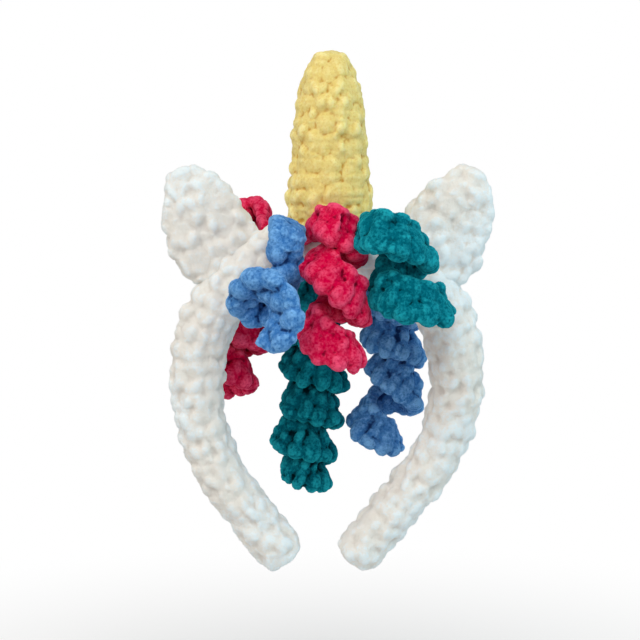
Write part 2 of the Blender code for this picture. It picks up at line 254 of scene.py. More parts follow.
@dataclass(frozen=True)
class Chenille:
    """Finish of one colour of chenille yarn.

    Attributes:
        slot: The name that the yarn's material is named after.
        shade: Painted shade deep between two stitches, which is also the colour of the pile's dark
            specks.
        body: Colour of the pile over most of a stitch.
        tip_and_highlight: Colour of the pile's lighter tips and patches, and of the highlight
            painted where light would catch the crowns of the stitches; it also sets how far each
            colour of light passes through the pile.
        rim: Colour of the pile's sheen, seen along its surface.
        sheen: Weight of the sheen.
        sheen_roughness: How widely the sheen spreads.
        glow: Weight of the light that passes through the pile.
        glow_reach: How far that light passes, in metres.
        tuft: Size of the pile's tufts, in metres.
        hair: Size of the fine pile, as a share of the tufts.
        depth: Height of the fine pile in the bump, in metres.
        bump: Strength of the bump.
        patch: Size of the patches where the pile lies another way, in metres.
        drift: How much lighter or darker those patches are.
        roughness: Lowest and highest roughness of the pile.
        noise_span: The values between which the noises mostly lie.
        tips: Least and most of the lighter tip colour that the tufts add.
        crown: Relief at which the painted highlight of a crown begins and is full.
        crown_highlight: Least and most painted highlight there.
        hollow: Relief at which the painted shade of a hollow begins and is full.
        speck: Values of the tufts' noise at which a dark speck is full and ends.
        speck_shade: How dark a speck is there.
    """

    slot: str
    shade: Colour
    body: Colour
    tip_and_highlight: Colour
    rim: Colour
    sheen: float = 0.7
    sheen_roughness: float = 0.4
    glow: float = 0.0
    glow_reach: float = 3 * MM
    tuft: float = 1.2 * MM
    hair: float = 0.4
    depth: float = 0.5 * MM
    bump: float = 0.9
    patch: float = 11 * MM
    drift: float = 0.15
    roughness: Span = (0.82, 1.0)
    noise_span: Span = (0.3, 0.7)
    tips: Span = (-0.15, 0.35)
    crown: Span = (0.50, 1.0)
    crown_highlight: Span = (0.0, 0.85)
    hollow: Span = (0.44, 0.04)
    speck: Span = (0.30, 0.45)
    speck_shade: Span = (0.25, 0.0)

    @property
    def name(self) -> str:
        """The name of the yarn's material."""
        return "chenille_" + self.slot

    def material(self) -> bpy.types.Material:
        """Makes the yarn's material.

        Returns:
            A Principled material: three tones mixed by the pile's tufts and by how deep the surface
                lies
            between its stitches, which paints shade into the hollows and a highlight onto the
            crowns, with a fine bump and a soft sheen.
        """
        made = bpy.data.materials.new(self.name)
        nodes = Nodes(made)
        place = nodes.place()
        tufts = nodes.noise(place, self.tuft, detail=2.0)
        patches = nodes.noise(place, self.patch, detail=2.0)
        pile = nodes.noise(place, self.tuft * self.hair, detail=4.0)
        height = nodes.attribute(RELIEF)
        tips = nodes.ramp(tufts, self.noise_span, self.tips)
        # Painted highlight: the crowns of the stitches are lightened towards the tip colour, on top
        # of the tufts' and patches' own lighter tone
        crown_highlight_mask = nodes.ramp(height, self.crown, self.crown_highlight)
        drift = nodes.ramp(patches, self.noise_span, (-self.drift, self.drift))
        tip_and_highlight_share = nodes.join("ADD", nodes.join("ADD", tips, crown_highlight_mask), drift)
        # Painted shade: the hollows between the stitches are darkened towards the shade colour, and
        # the tufts' own dark specks take the same colour
        hollow_shade_mask = nodes.ramp(height, self.hollow, ALL)
        specks = nodes.ramp(tufts, self.speck, self.speck_shade)
        dark = nodes.join("MAXIMUM", hollow_shade_mask, specks)
        relief = nodes.join("MULTIPLY", pile, tufts)
        bump = nodes.add("Bump", {"Distance": self.depth, "Strength": self.bump, "Height": relief})
        surface = {
            "Base Color": nodes.blend(dark, nodes.blend(tip_and_highlight_share, self.body, self.tip_and_highlight), self.shade),
            "Roughness": nodes.ramp(tufts, self.noise_span, self.roughness),
            "Normal": bump.outputs["Normal"],
            "Sheen Weight": self.sheen,
            "Sheen Roughness": self.sheen_roughness,
            "Sheen Tint": self.rim,
            "Specular IOR Level": 0.0,
            "Subsurface Weight": self.glow,
            "Subsurface Radius": self.tip_and_highlight,
            "Subsurface Scale": self.glow_reach,
        }
        nodes.feed(nodes.tree.nodes["Principled BSDF"], surface)
        return made


class Yarn(Enum):
    """The five yarns."""

    WHITE = Chenille(
        "white_yarn",
        shade=(0.78, 0.75, 0.70),
        body=(0.85, 0.83, 0.78),
        tip_and_highlight=(0.84, 0.92, 0.96),
        rim=(1.0, 1.0, 1.0),
        sheen=0.2,
        glow=0.5,
        depth=0.8 * MM,
        patch=45 * MM,
        drift=0.6,
    )
    YELLOW = Chenille(
        "yellow_yarn",
        shade=(0.60, 0.33, 0.06),
        body=(0.80, 0.64, 0.22),
        tip_and_highlight=(0.90, 0.79, 0.36),
        rim=(1.0, 0.9, 0.6),
        sheen=0.2,
        glow=0.4,
    )
    PINK = Chenille(
        "pink_yarn",
        shade=(0.16, 0.0, 0.012),
        body=(0.64, 0.0, 0.05),
        tip_and_highlight=(0.92, 0.09, 0.20),
        rim=(1.0, 0.16, 0.32),
    )
    BLUE = Chenille(
        "blue_yarn",
        shade=(0.008, 0.035, 0.14),
        body=(0.045, 0.185, 0.49),
        tip_and_highlight=(0.20, 0.46, 0.84),
        rim=(0.32, 0.62, 1.0),
    )
    GREEN = Chenille(
        "green_yarn",
        shade=(0.0, 0.010, 0.016),
        body=(0.0, 0.115, 0.165),
        tip_and_highlight=(0.014, 0.36, 0.44),
        rim=(0.05, 0.75, 0.85),
    )


def yarn_material(yarn: Yarn) -> bpy.types.Material:
    """The yarn's material, made the first time that it is asked for."""
    return bpy.data.materials.get(yarn.value.name) or yarn.value.material()


# Stitches


class Shape(Enum):
    """The shapes that are laid: a leg of a V, a long finger, a short puff and the filling."""

    LEG = "leg"
    FINGER = "finger"
    PUFF = "puff"
    CORE = "core"


class StitchMaker:
    """Models each shape once, one unit wide, tall and deep, and lays copies of it."""

    def __init__(self) -> None:
        """Models the shapes and puts them out of sight."""
        self.models: dict[Shape, bpy.types.Mesh] = {
            Shape.LEG: self._model_leg(),
            Shape.FINGER: self._model_finger(),
            Shape.PUFF: self._model_puff(),
            Shape.CORE: self._model_core(),
        }

    @staticmethod
    def _cushion(name: str, cuts: int, roundness: float) -> bpy.types.Object:
        """A rounded block one unit across, left in edit mode with all of it selected.

        Args:
            name: The object's name.
            cuts: How often each edge of the block is cut.
            roundness: From 0, a cube, to 1, a ball.

        Returns:
            The block.
        """
        deselect_all()
        bpy.ops.mesh.primitive_cube_add(size=1)
        block = bpy.context.object
        block.name = name
        bpy.ops.object.mode_set(mode="EDIT")
        bpy.ops.mesh.select_all(action="SELECT")
        bpy.ops.mesh.subdivide(number_cuts=cuts)
        bpy.ops.transform.tosphere(value=roundness)
        bpy.ops.object.mode_set(mode="OBJECT")
        shrink = 1 / block.dimensions.x
        bpy.ops.object.mode_set(mode="EDIT")
        bpy.ops.transform.resize(value=(shrink, shrink, shrink), center_override=(0, 0, 0))
        return block

    @staticmethod
    def _narrow(block: bpy.types.Object, below: float, width: float, depth: float) -> None:
        """Draws in the foot of a block in edit mode.

        Args:
            block: The block.
            below: How far up, along Y, the foot goes.
            width: How wide it stays, as a share.
            depth: How deep it stays, as a share.
        """
        bpy.ops.mesh.select_all(action="DESELECT")
        bpy.ops.object.mode_set(mode="OBJECT")
        for point in block.data.vertices:
            point.select = point.co.y < below
        bpy.ops.object.mode_set(mode="EDIT")
        bpy.ops.transform.resize(value=(width, 1, depth), center_override=(0, 0, 0))

    @staticmethod
    def _keep(block: bpy.types.Object) -> bpy.types.Mesh:
        """Leaves edit mode and keeps a modelled shape's mesh without its object.

        Args:
            block: The modelled shape.

        Returns:
            Its mesh.
        """
        bpy.ops.object.mode_set(mode="OBJECT")
        mesh = block.data
        mesh.use_fake_user = True
        bpy.data.objects.remove(block)
        return mesh

    def _model_leg(self) -> bpy.types.Mesh:
        """One plump strand of a stitch, thinner at its foot, where it goes into the fabric.

        Returns:
            The strand's mesh.
        """
        leg = self._cushion("stitch_leg", cuts=3, roundness=0.9)
        self._narrow(leg, below=-0.1, width=0.86, depth=0.84)
        self._narrow(leg, below=-0.3, width=0.80, depth=0.80)
        return self._keep(leg)

    def _model_finger(self) -> bpy.types.Mesh:
        """One finger across a strip: a full head at the flared edge and a narrow foot.

        Returns:
            The finger's mesh.
        """
        finger = self._cushion("stitch_finger", cuts=4, roundness=0.85)
        self._narrow(finger, below=0.05, width=0.86, depth=0.95)
        self._narrow(finger, below=-0.2, width=0.78, depth=0.92)
        return self._keep(finger)

    def _model_puff(self) -> bpy.types.Mesh:
        """One short lump of yarn with a flattened crown."""
        return self._keep(self._cushion("stitch_puff", cuts=3, roundness=0.8))

    def _model_core(self) -> bpy.types.Mesh:
        """The rounded filling under the stitches."""
        return self._keep(self._cushion("stitch_core", cuts=4, roundness=1.0))

    def lay(self, shape: Shape, matrix: Matrix) -> bpy.types.Object:
        """Lays a copy of a shape, with a mesh of its own, at a place.

        Args:
            shape: What to lay.
            matrix: Its place, with its width, height and depth as the axes' lengths.

        Returns:
            The laid copy.
        """
        mesh = self.models[shape].copy()
        mesh.transform(matrix)
        stitch = bpy.data.objects.new(shape.value, mesh)
        bpy.context.scene.collection.objects.link(stitch)
        return stitch


@dataclass(frozen=True)
class Pile:
    """How laid stitches are knitted into one soft skin.

    Attributes:
        voxel: Size of the grid that the stitches are joined on.
        rounds: How often the skin is smoothed.
        softness: How far each smoothing goes, from 0 to 1.
        tuft: Size of the pile's tufts.
        tuft_height: Height of the tufts, equal inwards and outwards.
        lump: Size of the yarn's knuckles.
        lump_height: Height of the knuckles.
        lump_level: The share of that height that lies over the skin.
    """

    voxel: float = 0.65 * MM
    rounds: int = 3
    softness: float = 0.5
    tuft: float = 1.2 * MM
    tuft_height: float = 0.45 * MM
    lump: float = 7.5 * MM
    lump_height: float = 2.0 * MM
    lump_level: float = 0.3

    def knit(self, name: str, stitches: list[bpy.types.Object]) -> bpy.types.Object:
        """Joins the stitches into one closed skin with a soft pile.

        Args:
            name: The finished piece's name.
            stitches: Everything that was laid for it.

        Returns:
            The finished piece, at the origin, with how high each point stands kept on it.
        """
        deselect_all()
        for stitch in stitches:
            stitch.select_set(True)
        piece = stitches[0]
        bpy.context.view_layer.objects.active = piece
        bpy.ops.object.join()
        piece.name = name
        piece.data.name = name
        skin = piece.modifiers.new("skin", "REMESH")
        skin.mode = "VOXEL"
        skin.voxel_size = self.voxel
        soft = piece.modifiers.new("soft", "SMOOTH")
        soft.factor = self.softness
        soft.iterations = self.rounds
        knuckles = self._displace(piece, "VORONOI", self.lump, -self.lump_height, self.lump_level)
        knuckles.distance_metric = "DISTANCE_SQUARED"
        tufts = self._displace(piece, "CLOUDS", self.tuft, self.tuft_height, level=0.5)
        tufts.noise_depth = 1
        for modifier in list(piece.modifiers):
            bpy.ops.object.modifier_apply(modifier=modifier.name)
        bpy.ops.object.shade_smooth()
        keep_relief(piece.data)
        return piece

    @staticmethod
    def _displace(
        piece: bpy.types.Object, kind: str, size: float, height: float, level: float
    ) -> bpy.types.Texture:
        """Moves a piece's skin in and out by a texture.

        Args:
            piece: The piece.
            kind: The texture's type.
            size: Size of its lumps.
            height: How far they go from lowest to highest.
            level: The value of the texture that leaves the skin where it is.

        Returns:
            The texture.
        """
        texture = bpy.data.textures.new(kind.lower(), kind)
        texture.noise_scale = size
        lumps = piece.modifiers.new(kind.lower(), "DISPLACE")
        lumps.texture = texture
        lumps.texture_coords = "LOCAL"
        lumps.mid_level = level
        lumps.strength = height
        return texture


def keep_relief(
    mesh: bpy.types.Mesh, rounds: int = 12, own: float = 0.3, reach: float = 0.5 * MM
) -> None:
    """Keeps how far each point stands over the ones round it, 0 in a hollow and 1 on a crown.

    Args:
        mesh: The finished skin.
        rounds: How far the comparison spreads over the mesh.
        own: How much of its own place a point keeps in a round.
        reach: The height at which a point counts as a full crown or hollow.
    """
    count = len(mesh.vertices)
    place = np.empty(count * 3)
    mesh.vertices.foreach_get("co", place)
    place = place.reshape(-1, 3)
    normal = np.empty(count * 3)
    mesh.vertices.foreach_get("normal", normal)
    normal = normal.reshape(-1, 3)
    ends = np.empty(len(mesh.edges) * 2, np.int64)
    mesh.edges.foreach_get("vertices", ends)
    first, second = ends.reshape(-1, 2).T
    near = np.bincount(first, minlength=count) + np.bincount(second, minlength=count)
    smooth = place.copy()
    for _ in range(rounds):
        total = [
            np.bincount(first, smooth[second, axis], count)
            + np.bincount(second, smooth[first, axis], count)
            for axis in range(3)
        ]
        smooth = own * smooth + (1 - own) * np.array(total).T / near[:, None]
    stands = np.einsum("ij,ij->i", place - smooth, normal) / reach
    stands = np.clip(0.5 + 0.5 * stands, 0, 1).astype(np.float32)
    mesh.attributes.new(RELIEF, "FLOAT", "POINT").data.foreach_set("value", stands)


# Crocheted pieces


@dataclass
class Crochet:
    """A crocheted piece: it is laid, knitted, dressed and put in its node's place.

    Attributes:
        name: The CAD node that the piece stands for.
        yarn: Its yarn.
        seed: What its own unevenness is drawn from.
        fill: How full it is, from 0 to 1; not used.
        pile: How its skin is knitted.
        maker: Where its stitches come from.
        chance: Its own draws.
    """

    name: str
    yarn: Yarn
    seed: int
    fill: float = 0.8
    pile: Pile = Pile()
    maker: StitchMaker = field(init=False, repr=False)
    chance: random.Random = field(init=False, repr=False)

    def lay(self) -> Iterator[bpy.types.Object]:
        """Lays the piece's stitches one by one."""
        raise NotImplementedError

    def build(self, maker: StitchMaker) -> bpy.types.Object:
        """Makes the piece and puts it in place of its node.

        Args:
            maker: Where its stitches come from.

        Returns:
            The finished piece.
        """
        self.maker = maker
        self.chance = random.Random(self.seed)
        piece = self.pile.knit(self.name + "_crochet", list(self.lay()))
        piece.data.materials.clear()
        piece.data.materials.append(yarn_material(self.yarn))
        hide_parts(self.name)
        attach(piece, "root")
        log.info("%s: %d faces", piece.name, len(piece.data.polygons))
        return piece

    def vary(self, amount: float) -> float:
        """A factor near 1, drawn from the piece's own chance."""
        return 1 + self.chance.uniform(-amount, amount)

    def stray(self, amount: float) -> Vector:
        """A small step in any direction."""
        return Vector(self.chance.uniform(-amount, amount) for _ in range(3))


@dataclass
class Section:
    """One cross-section of a tube.

    Attributes:
        middle: Its centre.
        along: Which way the tube runs on.
        wide: Direction of its first half size.
        deep: Direction of its second half size.
        half_wide: The first half size.
        half_deep: The second half size.
    """

    middle: Vector
    along: Vector
    wide: Vector
    deep: Vector
    half_wide: float
    half_deep: float

    def round_length(self) -> float:
        """Length round the section."""
        a, b = self.half_wide, self.half_deep
        return math.pi * (3 * (a + b) - math.sqrt((3 * a + b) * (a + 3 * b)))

    def angle_at(self, share: float, steps: int = 48) -> float:
        """The angle that is a given share of the way round, by length.

        Args:
            share: Where to look, 1 for once round.
            steps: How finely the way round is measured.

        Returns:
            The angle in radians.
        """
        turn = 2 * math.pi / steps
        lengths = [
            math.hypot(
                self.half_wide * math.sin(turn * (i + 0.5)),
                self.half_deep * math.cos(turn * (i + 0.5)),
            )
            for i in range(steps)
        ]
        left = share % 1.0 * sum(lengths)
        for index, length in enumerate(lengths):
            if left <= length:
                return turn * (index + left / length)
            left -= length
        return 2 * math.pi

    def edge(self, angle: float) -> Vector:
        """The point of the section's outline at an angle."""
        wide = self.wide * (self.half_wide * math.cos(angle))
        return self.middle + wide + self.deep * (self.half_deep * math.sin(angle))

    def round(self, angle: float) -> Vector:
        """The way round the outline at an angle."""
        wide = self.wide * (self.half_wide * -math.sin(angle))
        return (wide + self.deep * (self.half_deep * math.cos(angle))).normalized()


@dataclass
class CrochetTube(Crochet):
    """A form worked in continuous rounds of V stitches.

    Attributes:
        row: Height of a round.
        stitch: Width of a stitch.
        yarn_depth: Depth of the stitches.
        relief: How far a stitch stands over the form's own surface.
        untidy: How far a stitch strays from its place.
        lean: How far the legs of a V lean together, in radians.
        pitch: How far a leg's head stands out over its foot, in radians.
        leg_place: How far a leg lies beside the stitch's middle, in stitch widths.
        leg_width: Width of a leg, in stitch widths.
        leg_length: Length of a leg, in rows.
        tilt_change: How much the legs' pitch and lean vary, as shares.
        size_change: How much the legs' width, length and depth vary, as shares.
        stagger: How far a round is shifted over the one before, in stitches.
        least_climb: Least climb of the spiral where the form closes, as a share of a row.
        last_row: How far before the end the last stitches are, in rows.
        filling_inset: How deep under the surface the filling lies, in yarn depths.
        filling_length: Length of one lump of the filling, in rows.
        cap_inset: How far from an end the lump lies that closes it, in yarn depths.
    """

    row: float = 8.6 * MM
    stitch: float = 10.4 * MM
    yarn_depth: float = 7.0 * MM
    relief: float = 0.5 * MM
    untidy: float = 0.7 * MM
    lean: float = math.radians(24)
    pitch: float = math.radians(12)
    leg_place: float = 0.26
    leg_width: float = 0.60
    leg_length: float = 1.55
    tilt_change: Span = (0.5, 0.4)
    size_change: tuple[float, float, float] = (0.18, 0.14, 0.12)
    stagger: float = 0.5
    least_climb: float = 0.35
    last_row: float = 0.85
    filling_inset: float = 0.16
    filling_length: float = 1.6
    cap_inset: float = 0.45

    def length(self) -> float:
        """How long the form is along its middle line."""
        raise NotImplementedError

    def section(self, distance: float) -> Section:
        """The form's cross-section at a distance along it."""
        raise NotImplementedError

    def lay(self) -> Iterator[bpy.types.Object]:
        """Lays the stitches in one spiral from end to end, over a filling.

        Yields:
            Each laid stitch.
        """
        distance, share = self.row / 2, 0.0
        while distance < self.length() - self.row * self.last_row:
            section = self.section(distance)
            count = max(3, round(section.round_length() / self.stitch))
            angle = section.angle_at(share)
            grain = self.grain(distance, angle)
            yield from self.stitch_at(section, angle, grain, count)
            share += (1 + self.stagger / count) / count
            distance += self.row / count * max(self.least_climb, section.along.dot(grain))
        steps = math.ceil(self.length() / (self.row / 2))
        for step in range(1, steps):
            yield self.maker.lay(Shape.CORE, self.filling(self.length() * step / steps))
        for end in (0.0, self.length()):
            yield self.maker.lay(Shape.PUFF, self.cap(end))

    def grain(self, distance: float, angle: float) -> Vector:
        """Which way the surface runs on from round to round, at a distance and an angle.

        Args:
            distance: How far along the form.
            angle: Where round its section.

        Returns:
            The direction, one unit long.
        """
        step = 0.8 * MM
        low, high = max(distance - step, 0.0), min(distance + step, self.length())
        return (self.section(high).edge(angle) - self.section(low).edge(angle)).normalized()

    def stitch_at(
        self, section: Section, angle: float, grain: Vector, count: int
    ) -> Iterator[bpy.types.Object]:
        """Lays the two legs of one V stitch.

        Args:
            section: The cross-section that the stitch is worked at.
            angle: Where round the section it is.
            grain: Which way the surface runs on.
            count: How many stitches the round has.

        Yields:
            Each leg.
        """
        across = section.round(angle)
        out = across.cross(grain).normalized()
        if out.dot(section.edge(angle) - section.middle) < 0:
            out = -out
        width = section.round_length() / count
        middle = section.edge(angle) - out * (self.yarn_depth / 2 - self.relief)
        pitch_change, lean_change = self.tilt_change
        width_change, length_change, depth_change = self.size_change
        for side in (-1, 1):
            tilt = Matrix.Rotation(self.pitch * self.vary(pitch_change), 3, across)
            tilt = Matrix.Rotation(side * self.lean * self.vary(lean_change), 3, out) @ tilt
            place = middle + across * (side * width * self.leg_place) + self.stray(self.untidy)
            wide = tilt @ across * (width * self.leg_width * self.vary(width_change))
            tall = tilt @ grain * (self.row * self.leg_length * self.vary(length_change))
            deep = tilt @ out * (self.yarn_depth * self.vary(depth_change))
            yield self.maker.lay(Shape.LEG, axes_at(place, wide, tall, deep))

    def filling(self, distance: float) -> Matrix:
        """Where the filling lies inside the form, at a distance along it.

        Args:
            distance: How far along the form.

        Returns:
            The place and size of one lump of the filling.
        """
        section = self.section(distance)
        to_end = min(distance, self.length() - distance)
        sunk = self.yarn_depth * self.filling_inset
        return axes_at(
            section.middle,
            section.wide * 2 * max(section.half_wide - sunk, 1 * MM),
            section.deep * 2 * max(section.half_deep - sunk, 1 * MM),
            section.along * min(self.row * self.filling_length, 2 * to_end),
        )

    def cap(self, end: float) -> Matrix:
        """Where the lump lies that closes the form at an end.

        Args:
            end: The end, as a distance along the form.

        Returns:
            The lump's place and size.
        """
        inwards = self.yarn_depth * self.cap_inset
        section = self.section(inwards if end == 0 else end - inwards)
        return axes_at(
            section.middle,
            section.wide * 2 * (section.half_wide + self.relief),
            section.deep * 2 * (section.half_deep + self.relief),
            section.along * self.yarn_depth,
        )


# The least half size that a form closes to, and the piles of the white pieces and the horn
THINNEST = 1.5 * MM
WHITE_PILE = Pile(
    voxel=0.8 * MM, rounds=10, lump=8 * MM, lump_height=2.4 * MM, tuft_height=0.5 * MM
)
HORN_PILE = Pile(rounds=7, lump=7 * MM, lump_height=2.2 * MM, tuft_height=0.4 * MM)


# Band


@dataclass
class BandLine:
    """The band's middle line: an arch on two legs that lean inwards. Sizes as in the CAD part.

    Attributes:
        arch_radius: Radius of the arch.
        side_straight: Length of the straight side under the arch.
        bend_radius: Radius of the bend under that.
        bend: How far the bend turns inwards, in radians.
        leg: Length of the straight leg under the bend.
        sway: How far both tips lie towards -X.
        thickness: Thickness of the sleeve.
        depth: Depth of the sleeve, from front to back.
        end_rounding: Length over which a tip is rounded.
        end_roundness: How round a tip is, from 0 to 1.
        sections: Share of the way from crown to tip | thickness and depth, as shares.
    """

    arch_radius: float = 62.5 * MM
    side_straight: float = 4.5 * MM
    bend_radius: float = 84 * MM
    bend: float = math.radians(38.5)
    leg: float = 46.5 * MM
    sway: float = 4 * MM
    thickness: float = 26 * MM
    depth: float = 31 * MM
    end_rounding: float = 8 * MM
    end_roundness: float = 0.9
    sections: Table = (
        (0.00, 1.12, 1.00),
        (0.22, 1.06, 0.95),
        (0.46, 1.00, 0.88),
        (0.60, 0.90, 0.83),
        (0.80, 0.87, 0.79),
        (1.00, 0.84, 0.74),
    )

    def __post_init__(self) -> None:
        """Works out what the sizes give."""
        self.crown_thickness = self.thickness * self.sections[0][1]
        self.arch_centre = self.crown_thickness / 2 - self.arch_radius
        self.runs = (
            (self.arch_radius * math.pi / 2, self.arch_radius),
            (self.side_straight, None),
            (self.bend_radius * self.bend, self.bend_radius),
            (self.leg, None),
        )
        self.half_length = sum(length for length, _ in self.runs)
        self.lowest = self._upright(self.half_length)[1]

    def _upright(self, distance: float) -> tuple[float, float]:
        """One side of the middle line, before the legs sway.

        Args:
            distance: How far from the crown.

        Returns:
            (across, up) of the point there.
        """
        across, up, heading = 0.0, self.arch_centre + self.arch_radius, 0.0
        for length, radius in self.runs:
            run = min(distance, length)
            distance -= run
            turned = heading + (run / radius if radius else 0.0)
            if radius:
                across += radius * (math.sin(turned) - math.sin(heading))
                up += radius * (math.cos(turned) - math.cos(heading))
            else:
                across += run * math.cos(heading)
                up -= run * math.sin(heading)
            heading = turned
        return across, up

    def point(self, distance: float) -> Vector:
        """A point of the middle line; distance runs from the crown towards +X.

        Args:
            distance: How far from the crown, below 0 towards -X.

        Returns:
            The point.
        """
        across, up = self._upright(abs(distance))
        share = max(0.0, (self.arch_centre - up) / (self.arch_centre - self.lowest))
        return RIGHT * (math.copysign(across, distance) - self.sway * share) + UP * up

    def frame_at(self, distance: float) -> tuple[Vector, Vector, Vector]:
        """The middle line and its directions at a distance from the crown.

        Args:
            distance: How far from the crown, below 0 towards -X.

        Returns:
            The point, the way along the band and the way out of the arch.
        """
        step = 0.5 * MM
        along = (self.point(distance + step) - self.point(distance - step)).normalized()
        return self.point(distance), along, BACK.cross(-along).normalized()

    def halves(self, distance: float) -> tuple[float, float]:
        """Half the thickness and half the depth at a distance from the crown.

        Args:
            distance: How far from the crown, below 0 towards -X.

        Returns:
            (half thickness, half depth).
        """
        thickness, depth = read_table(self.sections, abs(distance) / self.half_length)
        short = max(0.0, 1 - (self.half_length - abs(distance)) / self.end_rounding)
        rounding = math.sqrt(1 - (self.end_roundness * short) ** 2)
        return self.thickness * thickness / 2 * rounding, self.depth * depth / 2 * rounding


BAND_LINE = BandLine()


@dataclass
class Band(CrochetTube):
    """The sleeve round the hair band."""

    pile: Pile = WHITE_PILE

    def length(self) -> float:
        """The sleeve's length from tip to tip."""
        return 2 * BAND_LINE.half_length

    def section(self, distance: float) -> Section:
        """The sleeve's cross-section at a distance from its -X tip.

        Args:
            distance: How far from the -X tip.

        Returns:
            The cross-section.
        """
        from_crown = distance - BAND_LINE.half_length
        middle, along, out = BAND_LINE.frame_at(from_crown)
        thick, deep = BAND_LINE.halves(from_crown)
        return Section(middle, along, out, -BACK, thick, deep)


# Horn


@dataclass
class Horn(CrochetTube):
    """The stuffed horn and the skirt that it is sewn on by.

    Attributes:
        height: Height over the band's crown.
        diameter: Greatest diameter.
        skirt: Height of the skirt, which goes down round the crown.
        across: How far the horn stands towards +X.
        sections: Share of the height | diameter, as a share.
    """

    fill: float = 0.95
    pile: Pile = HORN_PILE
    row: float = 7.6 * MM
    stitch: float = 9.4 * MM
    relief: float = -0.3 * MM
    untidy: float = 1.1 * MM
    pitch: float = math.radians(6)
    height: float = 76 * MM
    diameter: float = 41 * MM
    skirt: float = 8 * MM
    across: float = 1.2 * MM
    sections: Table = (
        (0.00, 0.97),
        (0.08, 1.00),
        (0.22, 0.95),
        (0.35, 0.90),
        (0.52, 0.86),
        (0.66, 0.80),
        (0.77, 0.73),
        (0.86, 0.62),
        (0.93, 0.50),
        (0.98, 0.32),
        (1.00, 0.05),
    )

    def length(self) -> float:
        """The horn's height with its skirt."""
        return self.skirt + self.height

    def section(self, distance: float) -> Section:
        """The horn's round cross-section at a height over its hem.

        Args:
            distance: The height over the hem.

        Returns:
            The cross-section.
        """
        up = distance - self.skirt
        share = read_table(self.sections, up / self.height)[0]
        radius = max(self.diameter / 2 * share, THINNEST)
        middle = RIGHT * self.across + UP * (BAND_LINE.crown_thickness + up)
        return Section(middle, UP, RIGHT, BACK, radius, radius)


# Ears


@dataclass
class Ear(CrochetTube):
    """A flat padded leaf that stands on a shoulder of the arch.

    Attributes:
        side: 1 towards +X and -1 towards -X.
        angle: Its place on the arch, from the crown, in radians.
        tip_lean: How far its tip leans outwards, in radians.
        height: Height over the band.
        width: Greatest width.
        depth: Greatest depth, from front to back.
        root: Height of the root inside the band.
        sections: Share of the height | width and depth, as shares.
    """

    pile: Pile = WHITE_PILE
    side: int = 1
    angle: float = math.radians(42)
    tip_lean: float = math.radians(24.5)
    height: float = 46 * MM
    width: float = 41 * MM
    depth: float = 18 * MM
    root: float = 9 * MM
    sections: Table = (
        (-0.20, 0.76, 0.90),
        (0.00, 0.98, 1.00),
        (0.20, 0.99, 0.97),
        (0.38, 0.95, 0.94),
        (0.60, 0.83, 0.90),
        (0.75, 0.67, 0.82),
        (0.88, 0.48, 0.68),
        (0.96, 0.30, 0.50),
        (1.00, 0.08, 0.16),
    )

    def length(self) -> float:
        """The ear's height with its root."""
        return self.root + self.height

    def section(self, distance: float) -> Section:
        """The ear's oval cross-section at a height over its root.

        Args:
            distance: The height over the root's lower end.

        Returns:
            The cross-section.
        """
        seat = self.side * self.angle * BAND_LINE.arch_radius
        middle, _, out = BAND_LINE.frame_at(seat)
        foot = middle + out * BAND_LINE.halves(seat)[0]
        rise = RIGHT * self.side * math.sin(self.tip_lean) + UP * math.cos(self.tip_lean)
        up = distance - self.root
        width, depth = read_table(self.sections, up / self.height)
        half_wide = max(self.width * width / 2, THINNEST)
        half_deep = max(self.depth * depth / 2, THINNEST)
        return Section(foot + rise * up, rise, BACK.cross(rise), -BACK, half_wide, half_deep)


# Curls


@dataclass(frozen=True)
class Lump:
    """One lump of yarn across a curl's strip.

    Attributes:
        shape: What is laid for it.
        start: Its end towards the inner edge, in strip widths from the middle.
        end: Its end towards the flared edge.
        line: Where across the strip the distance to the next lump is measured.
        breadth: Its size along the strip, as a share of that distance.
        fullness: Its depth, as a share of the strip's thickness.
    """

    shape: Shape
    start: float
    end: float
    line: float
    breadth: float = 1.18
    fullness: float = 1.14


def puff(start: float, end: float) -> Lump:
    """A short lump of yarn between two places across the strip."""
    return Lump(Shape.PUFF, start, end, line=(start + end) / 2)


# Ends of a finger, in strip widths from the strip's middle, and the lumps that never vary
FOOT, TIP = -0.42, 0.53
FILLING = Lump(Shape.CORE, -0.48, 0.50, line=0.35, breadth=1.8, fullness=0.66)
CHAIN = Lump(Shape.PUFF, -0.53, -0.22, line=-0.36, breadth=1.25, fullness=0.95)
WHOLE = Lump(Shape.FINGER, -0.40, TIP, line=TIP / 2)
THIRDS = (puff(0.16, TIP), puff(-0.10, 0.26), puff(FOOT, 0.0))


@dataclass
class StripPoint:
    """One place along a curl's strip.

    Attributes:
        middle: The strip's middle line.
        ahead: Which way the strip runs on.
        wide: From the strip's inner edge to its flared edge.
        flat: Out of the strip's outer face.
        width: The strip's width there.
        thickness: The strip's thickness there.
    """

    middle: Vector
    ahead: Vector
    wide: Vector
    flat: Vector
    width: float
    thickness: float


